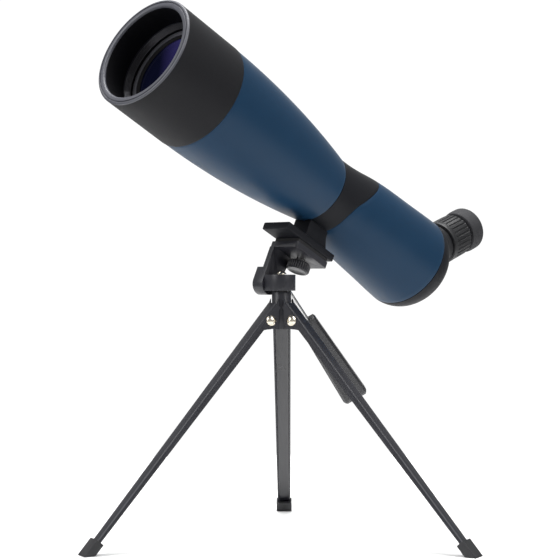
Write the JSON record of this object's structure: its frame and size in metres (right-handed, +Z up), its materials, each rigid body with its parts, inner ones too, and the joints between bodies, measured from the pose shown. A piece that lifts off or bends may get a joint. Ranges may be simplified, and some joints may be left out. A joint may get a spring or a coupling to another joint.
{
  "type": "telescope on tripod",
  "caption": "Angled spotting scope with a dark blue tapered body, black hood and angled zoom eyepiece, on a folding table-top tripod with a tilting head and panning handle.",
  "frame": {"origin": "on the floor under the middle of the whole outline, with the tripod's feet on Z = 0", "axes": "+X the way the scope looks, seen from above; +Z up; +Y across, towards the side without the focus knob"},
  "size_m": [0.3542, 0.2496, 0.3547],
  "materials": {
    "blue_paint": "fine satin dark blue armour paint",
    "hood_black": "matt charcoal rubber coat",
    "collar_black": "matt charcoal moulding",
    "inside_black": "flat black inside finish",
    "ring_grey": "black anodised ring with bright turned edges",
    "lens_glass": "blue-violet coated optical glass",
    "prism_glass": "polished optical glass",
    "brass": "turned brass",
    "steel": "bright plated steel",
    "nickel": "nickel-plated domed head",
    "tripod_black": "crinkled black powder paint",
    "pad_rubber": "soft black rubber",
    "foot_rubber": "moulded black rubber",
    "cup_rubber": "soft matt rubber, slightly greyer",
    "grip_plastic": "semi-gloss black plastic",
    "knob_plastic": "black plastic with fine ribs",
    "eyepiece_black": "satin black moulding"
  },
  "bodies": {
    "tripod_hub": {"hub": "tripod_black", "leg_pins": "nickel", "pan_rivet": "nickel", "pan_washer": "pad_rubber"},
    "leg_one": {"leg_1": "tripod_black", "leg_foot_1": "foot_rubber"},
    "leg_two": {"leg_2": "tripod_black", "leg_foot_2": "foot_rubber"},
    "leg_three": {"leg_3": "tripod_black", "leg_foot_3": "foot_rubber"},
    "pan_head": {"pan_base": "tripod_black", "tilt_bolt": "steel"},
    "scope": {"tilt_bracket": "tripod_black", "platform_pad": "pad_rubber", "mount_collar": "collar_black", "foot_thread_insert": "brass", "front_barrel": "blue_paint", "hood": "hood_black", "objective_cell": "inside_black", "lens_retainer": "ring_grey", "objective_crown_lens": "lens_glass", "objective_flint_lens": "prism_glass", "rear_housing": "blue_paint", "rear_cover": "collar_black", "prism_holder": "inside_black", "prism": "prism_glass", "focus_guide": "inside_black", "focus_bushing": "brass", "eyepiece_neck": "eyepiece_black", "eye_tube": "eyepiece_black", "eye_lens": "lens_glass", "field_lens": "prism_glass"},
    "clamp_screw": {"screw_knob": "knob_plastic", "mount_screw": "steel"},
    "handle": {"handle_rod": "steel", "handle_grip": "grip_plastic"},
    "zoom": {"zoom_ring": "eyepiece_black"},
    "cup": {"eyecup": "cup_rubber"},
    "focus_drive": {"focus_knob": "knob_plastic", "focus_shaft": "steel"},
    "focus_slide": {"focus_carriage": "inside_black", "focus_lens": "prism_glass"}
  },
  "joints": [
    {"name": "pan", "type": "hinge", "parent": "tripod_hub", "child": "pan_head", "pos_m": [0.034, -0.02, 0.175], "axis": [0, 0, 1], "continuous": true},
    {"name": "tilt", "type": "hinge", "parent": "pan_head", "child": "scope", "pos_m": [0.037, -0.02, 0.1743], "axis": [0, -1, 0], "range_deg": [-55, 12]},
    {"name": "screw_knob_turn", "type": "hinge", "parent": "scope", "child": "clamp_screw", "pos_m": [0.01589, -0.02, 0.18843], "axis": [-0.4415, 0, 0.8973], "continuous": true},
    {"name": "zoom_ring_turn", "type": "hinge", "parent": "scope", "child": "zoom", "pos_m": [-0.14664, -0.02, 0.20793], "axis": [-0.9426, 0, 0.3338], "range_deg": [0, 120]},
    {"name": "eyecup_slide", "type": "slide", "parent": "scope", "child": "cup", "axis": [-0.9426, 0, 0.3338], "range_m": [0, 0.006]},
    {"name": "focus_knob_turn", "type": "hinge", "parent": "scope", "child": "focus_drive", "pos_m": [-0.05321, -0.06, 0.22242], "axis": [0, -1, 0], "range_deg": [-100, 100]},
    {"name": "handle_turn", "type": "hinge", "parent": "scope", "child": "handle", "pos_m": [0.03108, -0.0328, 0.18632], "axis": [-0.6845, 0, -0.729], "range_deg": [-90, 90]},
    {"name": "focus_slide", "type": "slide", "parent": "scope", "child": "focus_slide", "axis": [0.8973, 0, 0.4415], "range_m": [-0.006, 0.006]},
    {"name": "leg_1_fold", "type": "hinge", "parent": "tripod_hub", "child": "leg_one", "pos_m": [0.03148, -0.00909, 0.1493], "axis": [-0.9744, -0.225, 0], "range_deg": [0, 36]},
    {"name": "leg_2_fold", "type": "hinge", "parent": "tripod_hub", "child": "leg_two", "pos_m": [0.02581, -0.02764, 0.1493], "axis": [0.682, -0.7314, 0], "range_deg": [0, 36]},
    {"name": "leg_3_fold", "type": "hinge", "parent": "tripod_hub", "child": "leg_three", "pos_m": [0.04471, -0.02328, 0.1493], "axis": [0.2924, 0.9563, 0], "range_deg": [0, 36]}
  ],
  "couplings": [
    {"joint": "focus_slide", "follows": "focus_knob_turn", "m_per_rad": 0.0034}
  ]
}
